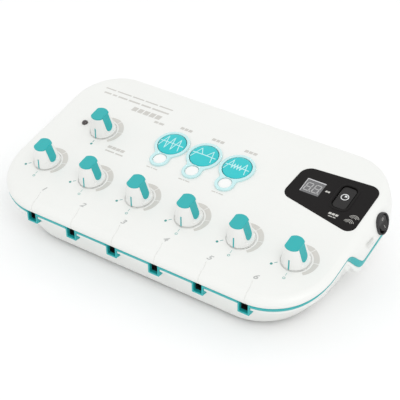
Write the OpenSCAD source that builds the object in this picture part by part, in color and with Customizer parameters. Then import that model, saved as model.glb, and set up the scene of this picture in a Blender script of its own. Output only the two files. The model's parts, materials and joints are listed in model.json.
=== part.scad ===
// Six-channel nerve and muscle stimulator, all dimensions in millimetres.
// X points right, Y points to the back, Z points up; the rubber feet stand on z = 0.

/* [Body] */
// half width of the body where the wall meets the deck
body_hw = 137.5; // [110:0.5:160]
// distance from the middle to the front wall
body_front = 74.5; // [55:0.5:95]
// distance from the middle to the back wall
body_back = 76; // [55:0.5:95]
// plan radius of the four corners
corner_r = 39; // [20:1:60]
// slope of the control deck, rising to the back
deck_tilt = 11.5; // [0:0.5:20]
// height of the deck surface at the knob row
deck_z = 46; // [36:0.5:60]
// radius of the soft edge round the deck
edge_r = 3.5; // [1:0.5:8]
// wall thickness of the shells
wall = 2.5; // [1.6:0.1:4]
// how far the side walls stand out at the parting line
side_flare = 4; // [0:0.1:8]
// extra bulge of the side walls half way down
side_bulge = 3.8; // [0:0.1:6]
// outward lean of the back wall, mm per mm of depth
back_draft = 0.05; // [0:0.01:0.3]
// depth of the parting line under the deck at the front
part_front = 8.6; // [4:0.5:12]
// depth of the parting line under the deck at the back
part_back = 24.3; // [12:0.5:34]
// height of the coloured trim band
band_h = 2.6; // [1.5:0.1:4]

/* [Knobs] */
// distance between neighbouring output knobs
knob_pitch = 44; // [30:0.5:52]
// distance of the knob row in front of the middle
row_y = -33.5; // [-50:0.5:0]
// x position of the frequency knob
freq_x = -91; // [-120:0.5:-60]
// distance of the frequency knob behind the row
freq_u = 48; // [30:0.5:70]
// radius of a knob at its foot
knob_base_r = 10.4; // [7:0.1:14]
// radius of a knob at its top
knob_top_r = 7.1; // [5:0.1:10]
// height of a knob
knob_h = 17.6; // [12:0.1:24]
// diameter of the potentiometer shafts
shaft_d = 6; // [4:0.05:8]

/* [Controls] */
// distance between the wave keys
wave_pitch = 29.4; // [24:0.1:34]
// x position of the middle wave key
wave_x = -2; // [-20:0.5:20]
// distance of the wave keys behind the knob row
wave_u = 57.7; // [45:0.1:70]
// radius of a wave key
wave_r = 11.2; // [6:0.1:12]
// distance between the output sockets
socket_pitch = 37.25; // [30:0.05:42]
// clear width of an output socket
socket_w = 6.8; // [5:0.1:9]
// clear height of an output socket
socket_h = 8.4; // [6:0.1:10]
// radius of the power rocker
rocker_r = 7.4; // [5:0.1:10]
// distance of the power switch behind the middle
rocker_y = 32.3; // [10:0.1:60]
// height of the power switch
rocker_z = 48.9; // [30:0.1:60]

/* [Hidden] */
ca = cos(deck_tilt);
sa = sin(deck_tilt);
ta = tan(deck_tilt);
gap = 0.3;
body_depth = 74;
nk = 6;
fa = 6;
shell_white = [0.94, 0.94, 0.92];
teal = [0.16, 0.71, 0.74];
aqua = [0.15, 0.8, 0.83];
ink = [0.05, 0.05, 0.06];
steel = [0.75, 0.76, 0.78];
brass = [0.8, 0.66, 0.3];
board_green = [0.05, 0.35, 0.2];
grey = [0.4, 0.4, 0.42];
tub_hw = 116;
tub_front = 63.5;
tub_back = 62;
tub_r = 38;
tub_z = 2;
board_w = -12.4;
board_t = 1.6;
board_posts = [[-88, 14], [-44, 30], [44, 14], [88, 14], [52, 66], [-48, 68]];
switch_lean = 14;
door_x = 84;
door_y0 = -8;
door_y1 = 46;

// height of the deck surface over plan position y
function deck(y) = deck_z + ta * (y - row_y);
// how far a side wall stands out at depth d under the deck
function flare(d) = let (t = d / part_back) t < 1
  ? side_flare * t + 4 * side_bulge * t * (1 - t)
  : side_flare - (4 * side_bulge - side_flare) * (t - 1);
// share of the flare at plan position y, smaller at the front corners
function share(y) = 0.35 + 0.65 * min(1, max(0, (y + body_front - corner_r)
  / (body_front + body_back - 2 * corner_r)));
// one ring of the upper body: the plan outline drawn in by inset, at depth d under the deck
function ring(inset, d) = [for (q = [0 : 3]) for (j = [0 : fa])
  let (a = q * 90 + j * 90 / fa,
    sx = (q == 0 || q == 3) ? 1 : -1,
    yc = (q < 2) ? body_back + back_draft * d - corner_r : corner_r - body_front,
    r = corner_r - inset,
    x = sx * (body_hw + flare(d) * share(yc) - corner_r) + r * cos(a),
    y = yc + r * sin(a))
  [x, y, deck(y) - d]];
// one level ring of the tub at height z, drawn in by inset
function tub_ring(z, inset) = [for (q = [0 : 3]) for (j = [0 : fa])
  let (a = q * 90 + j * 90 / fa,
    sx = (q == 0 || q == 3) ? 1 : -1,
    t = (z - tub_z) / 30,
    cr = tub_r + 4 * t,
    hw = tub_hw + 20.6 * t,
    yb = tub_back + 11.5 * t,
    yf = tub_front + 12 * t,
    yc = (q < 2) ? yb - cr : cr - yf,
    r = cr - inset,
    x = sx * (hw - cr) + r * cos(a),
    y = yc + r * sin(a))
  [x, y, z]];
// depth of the parting line under the deck, stepping down towards the back
function step(y) = let (t = min(1, max(0, (y + 18) / 26))) t * t * (3 - 2 * t);
function part_z(y) = deck(y) - part_front - (part_back - part_front) * step(y);
cut_y = [-110, -18, -15, -12, -8, -2, 2, 5, 8, 110];

// smooth solid round a stack of rings
module loft(rings) {
  n = len(rings[0]);
  m = len(rings);
  hull()
    polyhedron(
      points = [for (r = rings) for (p = r) p],
      faces = concat(
        [[for (i = [0 : n - 1]) i]],
        [[for (i = [0 : n - 1]) (m - 1) * n + n - 1 - i]],
        [for (k = [0 : m - 2]) for (i = [0 : n - 1])
          [k * n + i, (k + 1) * n + i, (k + 1) * n + (i + 1) % n, k * n + (i + 1) % n]]));
}

// the rings that shape the walls, drawn in by t
function wall_rings(t) = [for (d = [body_depth, 24.3, 20, 16, 12, 8]) ring(t, d)];

// the outer body of the upper shell with its soft upper edge
module body() {
  e = 0.293 * edge_r;
  loft(concat(wall_rings(0), [ring(0, edge_r), ring(e, e), ring(edge_r, 0)]));
}

// the same body with a plain upper edge, drawn in by t and lowered by d
module core(t, d) {
  loft(concat(wall_rings(t), [ring(t, 5), ring(t, d)]));
}

// slab across the whole body between two offsets from the parting line
module layer(lo, hi) {
  n = len(cut_y);
  translate([-170, 0, 0])
    rotate([90, 0, 90])
      linear_extrude(height = 340)
        polygon([for (i = [0 : n - 1]) [cut_y[i], part_z(cut_y[i]) + lo],
          for (i = [n - 1 : -1 : 0]) [cut_y[i], part_z(cut_y[i]) + hi]]);
}

// everything above the parting line
module above(lo) {
  n = len(cut_y);
  translate([-170, 0, 0])
    rotate([90, 0, 90])
      linear_extrude(height = 340)
        polygon(concat([for (i = [0 : n - 1]) [cut_y[i], part_z(cut_y[i]) + lo]],
          [[110, 120], [-110, 120]]));
}

// places children on the deck: x across, u up the slope from the knob row
module on_deck(x, u) {
  translate([x, row_y + u * ca, deck_z + u * sa])
    rotate([deck_tilt, 0, 0])
      children();
}

module at_knob(i) {
  x = i < nk ? (i - 2.5) * knob_pitch : freq_x;
  u = i < nk ? 0 : freq_u;
  on_deck(x, u)
    children();
}

module at_wave(i) {
  on_deck(wave_x + (i - 1) * wave_pitch, wave_u)
    children();
}

// on the right wall: z of the children points outwards
module at_rocker() {
  x = body_hw + flare(deck(rocker_y) - rocker_z) * share(rocker_y);
  translate([x, rocker_y, rocker_z])
    rotate([0, 90 - switch_lean, 0])
      children();
}

module at_boss() {
  for (p = [[-80, -46, 0], [80, -46, 0], [-101, 43, 0], [101, 43, 0], [0, 56, 0]])
    translate(p)
      children();
}

// plan of the black control panel, in deck coordinates
module fascia_plan(d) {
  polygon([[75.5 - d, 47.5 - d], [124.5 + d, 39.5 - d], [132 + d, 44 - d],
    [132.4 + d, 76 + d], [126 + d, 86 + d], [80 - d, 83.5 + d], [74.5 - d, 79.5 + d],
    [70.2 - d, 60 + d], [71 - d, 52.5 - d]]);
}

module socket_face(w, h, y0, y1, z0) {
  translate([-w / 2, y0, z0])
    cube([w, y1 - y0, h]);
}

function socket_x(i) = (i - 2.5) * socket_pitch + 1;
socket_top = deck(-body_front) - part_front + 1.2;
socket_floor = socket_top - socket_h;

module upper_shell() {
  color(shell_white)
    difference() {
      union() {
        // the skin, kept where it lies above the trim band
        intersection() {
          difference() {
            body();
            core(wall, wall);
          }
          above(band_h / 2 + 0.03);
        }
        // tapering posts for the case screws
        intersection() {
          core(1, 1);
          at_boss()
            hull() {
              translate([0, 0, 24])
                cylinder(h = 1, d = 7, $fn = 32);
              translate([0, 0, 70])
                cylinder(h = 1, d = 9, $fn = 32);
            }
        }
        // posts that carry the main board
        for (p = board_posts)
          on_deck(p[0], p[1])
            hull() {
              translate([0, 0, board_w])
                cylinder(h = 1, d = 5.6, $fn = 28);
              translate([0, 0, -2])
                cylinder(h = 1, d = 6.6, $fn = 28);
            }
      }
      at_boss()
        translate([0, 0, 20])
          cylinder(h = 14, d = 2.6, $fn = 24);
      for (p = board_posts)
        on_deck(p[0], p[1])
          translate([0, 0, board_w - 1])
            cylinder(h = 8, d = 2.2, $fn = 24);
      // holes for the shaft bushings
      for (i = [0 : nk])
        at_knob(i)
          translate([0, 0, -8])
            cylinder(h = 12, d = 7.3, $fn = 48);
      // openings for the wave keys and their light pipes
      for (i = [0 : 2])
        at_wave(i) {
          translate([0, 0, -8])
            cylinder(h = 12, r = wave_r + gap, $fn = 72);
          translate([0, -18, -8])
            cylinder(h = 12, r = 2.1, $fn = 32);
        }
      // indicator lamp
      on_deck(-110, freq_u + 0.5)
        translate([0, 0, -8])
          cylinder(h = 12, d = 5.1, $fn = 40);
      // seat and windows of the control panel
      on_deck(0, 0)
        translate([0, 0, -1.4])
          linear_extrude(height = 4)
            fascia_plan(0);
      on_deck(87.2, 65.8)
        translate([-8.4, -8, -6])
          cube([16.8, 16, 8]);
      on_deck(112.2, 67)
        translate([-6.4, -11.6, -6])
          cube([12.8, 23.2, 8]);
      // round opening for the power switch
      at_rocker()
        translate([0, 0, -6])
          cylinder(h = 12, r = rocker_r + 0.35, $fn = 64);
      at_rocker()
        cylinder(h = 8, r = rocker_r + 1, $fn = 64);
    }
}

module trim_band() {
  color(teal)
    difference() {
      union() {
        intersection() {
          difference() {
            core(-0.5, 0);
            core(1.9, -1);
          }
          layer(-band_h / 2, band_h / 2 + 0.5);
        }
        // frames hanging round the output sockets, wider at the top
        for (i = [0 : nk - 1])
          translate([socket_x(i), 0, 0])
            hull() {
              socket_face(socket_w + 2.6, socket_h - 2, -body_front - 0.9,
                -body_front + 1.9, socket_floor - 1.3);
              socket_face(socket_w + 5, 2, -body_front - 0.6, -body_front + 1.9,
                socket_floor + socket_h - 1.6);
            }
      }
      // openings through the frames
      for (i = [0 : nk - 1])
        translate([socket_x(i), 0, 0])
          socket_face(socket_w, socket_h + 4, -body_front - 3, -body_front + 4,
            socket_floor);
      // the upper shell starts here
      above(band_h / 2);
    }
}

// the tapering tub under the parting line
module tub_solid(inset, z0) {
  intersection() {
    loft([tub_ring(z0, inset), tub_ring(52, inset)]);
    core(inset, -1);
  }
}

module lower_shell() {
  color(shell_white)
    difference() {
      union() {
        difference() {
          tub_solid(0, tub_z);
          tub_solid(wall, tub_z + wall);
        }
        // shelf that carries the trim band
        intersection() {
          difference() {
            core(0.05, -1);
            loft([tub_ring(10, 1.2), tub_ring(54, 1.2)]);
          }
          layer(-band_h / 2 - 2.43, -band_h / 2 + 0.5);
        }
        // tapering sleeves for the case screws
        intersection() {
          tub_solid(1, tub_z + 0.5);
          at_boss()
            hull() {
              translate([0, 0, tub_z])
                cylinder(h = 1, d = 10.4, $fn = 32);
              translate([0, 0, 22.9])
                cylinder(h = 1, d = 8.6, $fn = 32);
            }
        }
        // walls of the battery compartment
        difference() {
          translate([-door_x - 3, door_y0 - 3, tub_z + 1])
            cube([2 * door_x + 6, door_y1 - door_y0 + 6, 22]);
          translate([-door_x - 1, door_y0 - 1, tub_z])
            cube([2 * door_x + 2, door_y1 - door_y0 + 2, 30]);
        }
        // seats behind the output sockets
        for (i = [0 : nk - 1])
          translate([socket_x(i), 0, 0])
            socket_face(16, 3, -body_front + 3.5, -body_front + 26, socket_floor - 4.8);
      }
      // room for the trim band and the upper shell
      above(-band_h / 2 - 0.03);
      // screw holes
      at_boss()
        cylinder(h = 60, d = 3.3, $fn = 32);
      at_boss()
        translate([0, 0, -1])
          cylinder(h = 19, d = 5.6, $fn = 40);
      // battery opening
      translate([-door_x, door_y0, tub_z - 1])
        cube([2 * door_x, door_y1 - door_y0, 6]);
      // notches for the sockets and their frames
      for (i = [0 : nk - 1])
        translate([socket_x(i), 0, 0]) {
          socket_face(socket_w + 2.8, socket_h + 6, -body_front - 4, -body_front + 8,
            socket_floor - 1.4);
          hull() {
            socket_face(socket_w + 2.8, socket_h - 2, -body_front - 3, -body_front + 2,
              socket_floor - 1.4);
            socket_face(socket_w + 5.4, 2.2, -body_front - 3, -body_front + 2,
              socket_floor + socket_h - 1.7);
          }
        }
      // round opening for the supply inlet
      translate([-92, 80, 22])
        rotate([90, 0, 0])
          cylinder(h = 26, d = 9.2, $fn = 48);
      // air slots in the floor
      for (i = [-4 : 4])
        translate([i * 9 - 1, -52, tub_z - 1])
          cube([2, 22, 6]);
    }
}

module battery_cover() {
  color(shell_white)
    difference() {
      union() {
        translate([-door_x + gap, door_y0 + gap, tub_z + 0.2])
          cube([2 * (door_x - gap), door_y1 - door_y0 - 2 * gap, 2]);
        for (x = [-50, -4, 42])
          translate([x, door_y0 + 0.4, tub_z + 2])
            cube([8, 2, 2]);
      }
      // finger grip
      for (i = [0 : 4])
        translate([-9, door_y1 - 12 + i * 2, tub_z])
          cube([18, 0.9, 0.8]);
    }
}

module rubber_feet() {
  color(ink)
    for (x = [-97, 97], y = [-43, 29])
      translate([x, y, 0]) {
        cylinder(h = tub_z - 0.02, r1 = 6.4, r2 = 7, $fn = 48);
        translate([0, 0, tub_z - 0.02])
          cylinder(h = 0.01, r = 5, $fn = 48);
      }
}

module case_screws() {
  color(steel)
    at_boss()
      difference() {
        union() {
          translate([0, 0, 15.6])
            cylinder(h = 2.4, d = 5.2, $fn = 40);
          translate([0, 0, 18])
            cylinder(h = 13.5, d = 2.55, $fn = 32);
        }
        translate([0, 0, 15])
          cylinder(h = 1.9, d = 2.4, $fn = 6);
      }
}

module control_fascia() {
  color(ink)
    difference() {
      on_deck(0, 0)
        translate([0, 0, -1.35])
          linear_extrude(height = 1.55)
            fascia_plan(-0.15);
      on_deck(87.2, 65.8)
        translate([-7.5, -6.9, -3])
          cube([15, 13.8, 6]);
      on_deck(112.2, 67)
        translate([-5.8, -11, -3])
          cube([11.6, 22, 6]);
    }
}

module display_window() {
  color([0.12, 0.12, 0.13])
    on_deck(87.2, 65.8)
      difference() {
        translate([-7.4, -6.8, -1.1])
          cube([14.8, 13.6, 1.2]);
        translate([-6.4, -5.8, -1.2])
          cube([12.8, 11.6, 0.4]);
      }
}

module display_module() {
  color([0.1, 0.1, 0.11])
    on_deck(87.2, 65.8) {
      translate([-7.3, -6.9, -7.6])
        cube([14.6, 13.8, 6.3]);
      for (x = [-5 : 2.5 : 5], y = [-5.6, 5.6])
        translate([x, y, -11.9])
          cylinder(h = 4.5, d = 0.6, $fn = 16);
    }
}

module timer_key() {
  color([0.08, 0.08, 0.09])
    on_deck(112.2, 67) {
      translate([-5.4, -10.6, -3.6])
        cube([10.8, 21.2, 3.1]);
      translate([-6.1, -11.3, -3.6])
        cube([12.2, 22.6, 0.8]);
      translate([0, 0, -5.1])
        cylinder(h = 1.8, d = 4, $fn = 32);
    }
}

module power_switch_body() {
  color(ink)
    at_rocker()
      difference() {
        union() {
          translate([0, 0, 0.05])
            cylinder(h = 1.5, r1 = rocker_r + 0.9, r2 = rocker_r + 0.4, $fn = 72);
          translate([0, 0, -14])
            cylinder(h = 14.1, r = rocker_r + 0.3, $fn = 72);
          for (y = [-3, 3])
            translate([-0.4, y - 1.2, -19])
              cube([0.8, 2.4, 6]);
        }
        translate([0, 0, -9])
          cylinder(h = 12, r = rocker_r - 0.5, $fn = 72);
        // bearing holes of the rocker pin
        translate([0, -rocker_r - 0.1, -4.5])
          rotate([-90, 0, 0])
            cylinder(h = 2 * rocker_r + 0.2, d = 2.1, $fn = 36);
      }
}

module power_rocker() {
  color([0.1, 0.1, 0.11])
    at_rocker()
      translate([0, 0, -4.5])
        rotate([0, -8, 0]) {
          // two faces that meet in a shallow valley
          intersection() {
            rotate([90, 0, 0])
              linear_extrude(height = 14, center = true)
                polygon([[-5.6, -1.4], [5.6, -1.4], [5.6, 6.3], [0, 5.3], [-5.6, 6.3]]);
            translate([0, 0, -3])
              cylinder(h = 12, r = 5.7, $fn = 72);
          }
          rotate([90, 0, 0])
            cylinder(h = 2 * rocker_r - 0.3, d = 2, center = true, $fn = 36);
        }
}

module indicator_led() {
  color([0.25, 0.1, 0.1])
    on_deck(-110, freq_u + 0.5) {
      translate([0, 0, -3.4])
        cylinder(h = 3.6, d = 5, $fn = 36);
      translate([0, 0, 0.2])
        intersection() {
          sphere(d = 5, $fn = 36);
          translate([-3, -3, 0])
            cube([6, 6, 3]);
        }
      translate([0, 0, -4.4])
        cylinder(h = 1, d = 5.8, $fn = 36);
      for (x = [-1.27, 1.27])
        translate([x * 0.8, 0, -11.6])
          cylinder(h = 7.3, d = 0.5, $fn = 16);
    }
}

module main_board() {
  color(board_green)
    difference() {
      on_deck(0, 0)
        translate([-124, -12, board_w - board_t])
          cube([242, 94, board_t - 0.05]);
      for (p = board_posts)
        on_deck(p[0], p[1])
          translate([0, 0, board_w - 4])
            cylinder(h = 6, d = 2.6, $fn = 32);
      at_boss()
        cylinder(h = 90, d = 10, $fn = 48);
    }
}

module board_screws() {
  color(steel)
    for (p = board_posts)
      on_deck(p[0], p[1])
        difference() {
          union() {
            translate([0, 0, board_w - board_t - 1.6])
              cylinder(h = 1.55, d = 4.4, $fn = 36);
            translate([0, 0, board_w - board_t - 0.2])
              cylinder(h = 7, d = 2.15, $fn = 32);
          }
          translate([-1.6, -0.3, board_w - board_t - 2])
            cube([3.2, 0.6, 1]);
        }
}

module tact_switch(h) {
  translate([-3, -3, board_w])
    cube([6, 6, 3.4]);
  translate([0, 0, board_w + 3.3])
    cylinder(h = h, d = 3.4, $fn = 32);
}

module tact_switches() {
  color(grey) {
    for (i = [0 : 2])
      at_wave(i)
        tact_switch(-board_w - 3.3 - 6.4);
    on_deck(112.2, 67) {
      translate([-3, -3, board_w])
        cube([6, 6, 6]);
      translate([0, 0, -6.5])
        cylinder(h = 0.3, d = 3.4, $fn = 32);
    }
  }
}

module output_contacts() {
  color(brass)
    for (i = [0 : nk - 1], s = [-1, 1])
      translate([socket_x(i) + s * 1.7, -body_front + 8.2, socket_floor + socket_h * 0.62])
        rotate([-90, 0, 0]) {
          cylinder(h = 12, d = 1.1, $fn = 24);
          translate([0, 0, 9.9])
            cylinder(h = 1, d = 1.8, $fn = 24);
        }
}

module socket(i) {
  color(ink)
    translate([socket_x(i), 0, 0])
      difference() {
        socket_face(socket_w + 2.4, socket_h + 0.4, -body_front + 2, -body_front + 18,
          socket_floor - 1.2);
        socket_face(socket_w, socket_h - 1.6, -body_front + 1, -body_front + 15,
          socket_floor);
        for (s = [-1, 1])
          translate([s * 1.7, -body_front + 14, socket_floor + socket_h * 0.62])
            rotate([-90, 0, 0])
              cylinder(h = 6, d = 1.14, $fn = 24);
      }
}

module socket_1() {
  socket(0);
}

module socket_2() {
  socket(1);
}

module socket_3() {
  socket(2);
}

module socket_4() {
  socket(3);
}

module socket_5() {
  socket(4);
}

module socket_6() {
  socket(5);
}

module dc_inlet() {
  color(ink)
    translate([-92, 0, 22])
      rotate([-90, 0, 0])
        difference() {
          union() {
            translate([0, 0, 52])
              cylinder(h = 18, d = 9, $fn = 48);
            translate([-5.5, -4.5, 52])
              cube([11, 9, 8]);
          }
          translate([0, 0, 56])
            cylinder(h = 20, d = 6.2, $fn = 48);
          translate([0, 0, 50])
            cylinder(h = 10, d = 2.04, $fn = 32);
        }
}

module dc_inlet_pin() {
  color(steel)
    translate([-92, 0, 22])
      rotate([-90, 0, 0]) {
        translate([0, 0, 49])
          cylinder(h = 18, d = 2, $fn = 32);
        translate([0, 0, 49])
          cylinder(h = 2, d = 3, $fn = 32);
      }
}

module battery_contacts() {
  color(steel)
    for (s = [-1, 1], y = [door_y0 + 13.5, door_y1 - 13.5])
      translate([s * (door_x - 0.6), y, tub_z + 14.2]) {
        translate([-0.3, -8, -8])
          cube([0.6, 16, 16]);
        translate([-s * 0.8, 0, 0])
          rotate([0, 90, 0])
            cylinder(h = 1, d = 6, center = true, $fn = 36);
      }
}

module battery_cells() {
  color([0.2, 0.25, 0.4])
    for (y = [door_y0 + 13.5, door_y1 - 13.5], k = [-1, 0, 1])
      translate([k * 51.4 - 24.9, y, tub_z + 16.2])
        rotate([0, 90, 0]) {
          cylinder(h = 48.2, d = 25.4, $fn = 64);
          translate([0, 0, 48])
            cylinder(h = 1.7, d = 6, $fn = 36);
        }
}

module buzzer() {
  color(ink)
    on_deck(-66, 50)
      difference() {
        translate([0, 0, board_w])
          cylinder(h = 8.5, d = 12, $fn = 48);
        translate([0, 0, -6])
          cylinder(h = 4, d = 2, $fn = 32);
      }
}

flat_tilt = atan(2.6 / 15.4);
cone_tilt = atan((knob_base_r - knob_top_r) / (knob_h - 1.3));

// the two flats of a knob lean outwards to a low shoulder
module knob_flats() {
  rotate([90, 0, 0])
    linear_extrude(height = 40, center = true)
      polygon([[-12, 0], [12, 0], [12, 2.4], [7.6, 3.2], [5, 18.6], [-5, 18.6],
        [-7.6, 3.2], [-12, 2.4]]);
}

// strip lying on the right flat, thick t, reaching up to length l
module strip(w, t, l) {
  translate([7.6, 0, 3.2])
    rotate([0, -flat_tilt, 0])
      translate([-t + 0.12, 0, 0])
        rotate([90, 0, 90])
          linear_extrude(height = t) {
            translate([-w, 3.4])
              square([2 * w, l - 3.4]);
            translate([0, 3.4])
              circle(r = w, $fn = 48);
          }
}

module knob_body(i) {
  color(shell_white)
    at_knob(i)
      difference() {
        intersection() {
          translate([0, 0, 0.5])
            cylinder(h = knob_h - 1.5, r1 = knob_base_r, r2 = knob_top_r, $fn = 96);
          knob_flats();
        }
        strip(2.75, 1.05, 20);
        // pointer groove
        translate([0, -knob_base_r, 0.5])
          rotate([-cone_tilt, 0, 0])
            translate([-0.48, -1, -1])
              cube([0.96, 1.7, 8.2]);
        // room for the nut, then the shaft bore
        translate([0, 0, 0.4])
          cylinder(h = 4.2, d = 14, $fn = 64);
        cylinder(h = 15, d = shaft_d + 0.04, $fn = 48);
      }
}

module knob_insert(i) {
  color(teal)
    at_knob(i) {
      intersection() {
        translate([0, 0, knob_h - 0.98])
          cylinder(h = 0.98, r1 = knob_top_r, r2 = knob_top_r - 0.5, $fn = 96);
        knob_flats();
      }
      intersection() {
        strip(2.7, 0.95, 20);
        translate([0, -10, 0])
          cube([20, 20, knob_h]);
      }
      // pointer line
      translate([0, -knob_base_r, 0.5])
        rotate([-cone_tilt, 0, 0])
          translate([-0.45, -0.12, 0.1])
            cube([0.9, 0.75, 6.9]);
    }
}

module pot_shaft(i) {
  color(steel)
    at_knob(i)
      difference() {
        translate([0, 0, -9.4])
          cylinder(h = 24.2, d = shaft_d, $fn = 48);
        translate([-0.5, -4, 12])
          cube([1, 8, 4]);
      }
}

module pot_bodies() {
  color(grey)
    for (i = [0 : nk])
      at_knob(i)
        difference() {
          union() {
            translate([0, 0, board_w])
              cylinder(h = -board_w - 2.75, d = 16.4, $fn = 60);
            translate([0, 0, -3])
              cylinder(h = 6.6, d = 7, $fn = 48);
          }
          translate([0, 0, -9.6])
            cylinder(h = 20, d = shaft_d + 0.1, $fn = 48);
        }
}

module pot_nuts() {
  color(steel)
    for (i = [0 : nk])
      at_knob(i)
        difference() {
          union() {
            translate([0, 0, 0.03])
              cylinder(h = 0.5, d = 11.6, $fn = 48);
            translate([0, 0, 0.5])
              cylinder(h = 2.4, d = 11, $fn = 6);
          }
          translate([0, 0, -1])
            cylinder(h = 6, d = 7.04, $fn = 48);
        }
}

module wave_key(i) {
  color(aqua)
    at_wave(i) {
      translate([0, 0, -2.9])
        cylinder(h = 4.2, r = wave_r, $fn = 80);
      translate([0, 0, 1.29])
        cylinder(h = 0.5, r1 = wave_r, r2 = wave_r - 0.7, $fn = 80);
      translate([0, 0, -4])
        cylinder(h = 1.15, r = wave_r + 1.3, $fn = 80);
      translate([0, 0, -5.2])
        cylinder(h = 1.3, d = 4, $fn = 36);
    }
}

module wave_bezels() {
  color([0.65, 0.9, 0.9])
    for (i = [0 : 2])
      at_wave(i)
        difference() {
          union() {
            translate([0, 0, 0.03])
              cylinder(h = 1.2, r = wave_r + 2.8, $fn = 80);
            translate([0, -17.05, 0.03])
              cylinder(h = 1.2, r = 7.8, $fn = 64);
            translate([-5.6, -14, 0.03])
              cube([11.2, 6, 1.2]);
          }
          translate([0, 0, -1])
            cylinder(h = 4, r = wave_r + gap, $fn = 80);
          translate([0, -17.4, -1])
            cylinder(h = 4, r = 5.4, $fn = 64);
        }
}

module status_lenses() {
  color([0.93, 0.95, 0.94])
    for (i = [0 : 2])
      at_wave(i) {
        translate([0, -17.4, 0.03])
          cylinder(h = 1, r = 5.3, $fn = 56);
        translate([0, -17.4, 1.02])
          cylinder(h = 0.5, r1 = 5.3, r2 = 4, $fn = 56);
        translate([0, -18, -5])
          cylinder(h = 5.2, r = 2, $fn = 32);
      }
}

module knob_body_1() {
  knob_body(0);
}

module knob_body_2() {
  knob_body(1);
}

module knob_body_3() {
  knob_body(2);
}

module knob_body_4() {
  knob_body(3);
}

module knob_body_5() {
  knob_body(4);
}

module knob_body_6() {
  knob_body(5);
}

module knob_body_7() {
  knob_body(6);
}

module knob_insert_1() {
  knob_insert(0);
}

module knob_insert_2() {
  knob_insert(1);
}

module knob_insert_3() {
  knob_insert(2);
}

module knob_insert_4() {
  knob_insert(3);
}

module knob_insert_5() {
  knob_insert(4);
}

module knob_insert_6() {
  knob_insert(5);
}

module knob_insert_7() {
  knob_insert(6);
}

module pot_shaft_1() {
  pot_shaft(0);
}

module pot_shaft_2() {
  pot_shaft(1);
}

module pot_shaft_3() {
  pot_shaft(2);
}

module pot_shaft_4() {
  pot_shaft(3);
}

module pot_shaft_5() {
  pot_shaft(4);
}

module pot_shaft_6() {
  pot_shaft(5);
}

module pot_shaft_7() {
  pot_shaft(6);
}

module wave_key_1() {
  wave_key(0);
}

module wave_key_2() {
  wave_key(1);
}

module wave_key_3() {
  wave_key(2);
}

upper_shell();
trim_band();
lower_shell();
battery_cover();
rubber_feet();
case_screws();
control_fascia();
display_window();
display_module();
timer_key();
power_switch_body();
power_rocker();
indicator_led();
main_board();
board_screws();
tact_switches();
output_contacts();
dc_inlet();
dc_inlet_pin();
battery_contacts();
battery_cells();
buzzer();
socket_1();
socket_2();
socket_3();
socket_4();
socket_5();
socket_6();
knob_body_1();
knob_body_2();
knob_body_3();
knob_body_4();
knob_body_5();
knob_body_6();
knob_body_7();
knob_insert_1();
knob_insert_2();
knob_insert_3();
knob_insert_4();
knob_insert_5();
knob_insert_6();
knob_insert_7();
pot_shaft_1();
pot_shaft_2();
pot_shaft_3();
pot_shaft_4();
pot_shaft_5();
pot_shaft_6();
pot_shaft_7();
pot_bodies();
pot_nuts();
wave_key_1();
wave_key_2();
wave_key_3();
wave_bezels();
status_lenses();
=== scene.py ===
"""Looks of the six-channel stimulator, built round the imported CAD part.

Shapes are made in millimetres in the CAD frame and scaled to metres when they become pieces.
Deck coordinates: x across, u up the slope from the knob row, w out of the deck.
"""

import json
import math

import bmesh
import bpy
from mathutils import Matrix, Vector


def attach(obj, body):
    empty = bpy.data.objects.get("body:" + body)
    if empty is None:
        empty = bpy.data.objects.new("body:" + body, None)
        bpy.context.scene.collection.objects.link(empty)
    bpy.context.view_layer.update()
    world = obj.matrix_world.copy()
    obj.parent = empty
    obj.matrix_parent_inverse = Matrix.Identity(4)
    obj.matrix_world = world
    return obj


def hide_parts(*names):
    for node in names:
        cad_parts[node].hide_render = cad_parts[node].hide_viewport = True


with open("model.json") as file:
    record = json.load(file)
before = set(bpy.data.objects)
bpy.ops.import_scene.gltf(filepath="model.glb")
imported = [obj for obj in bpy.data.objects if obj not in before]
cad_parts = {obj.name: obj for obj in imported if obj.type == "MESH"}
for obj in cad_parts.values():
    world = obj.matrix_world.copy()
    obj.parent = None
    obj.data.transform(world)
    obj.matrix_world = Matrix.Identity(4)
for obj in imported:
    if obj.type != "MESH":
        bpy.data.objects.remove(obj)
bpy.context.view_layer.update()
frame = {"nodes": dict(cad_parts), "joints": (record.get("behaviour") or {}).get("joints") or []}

MM = 0.001
JOINTS = {j["name"]: j for j in frame["joints"]}
KNOBS = 7
CHANNELS = 6
knob_at = [Vector(JOINTS[f"knob_{i + 1}_turn"]["pos_m"]) / MM for i in range(KNOBS)]
knob_axis = Vector(JOINTS["knob_1_turn"]["axis"])
TILT = math.atan2(-knob_axis.y, knob_axis.z)
CA, SA, TA = math.cos(TILT), math.sin(TILT), math.tan(TILT)
ROW_Y, DECK_Z = knob_at[0].y, knob_at[0].z

# body: width, front and back as in the CAD source, with its own corners and wall shape
HALF_W, FRONT, BACK = 137.5, 74.5, 76.0
FRONT_R, BACK_R, EDGE_R, WALL = 43.0, 36.0, 3.5, 2.5
# outward shift of the wall at the band, and its extra bulge half way down: front, back
FLARE, BULGE = (0.2, 4.0), (2.0, 3.8)
BACK_WALL_LOSS = 0.6
# parting line under the deck, its slow rise at the front and its step down to the back
PART_FRONT, PART_BACK = 8.6, 24.3
RISE, RISE_FROM, RISE_LENGTH = 3.0, -66.0, 36.0
STEP_FROM, STEP_LENGTH = -14.0, 22.0
BAND_H, BAND_PROUD, BAND_SWELL, SEAM = 3.4, 0.7, 0.5, 0.04
SHELF_T = 2.4
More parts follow.
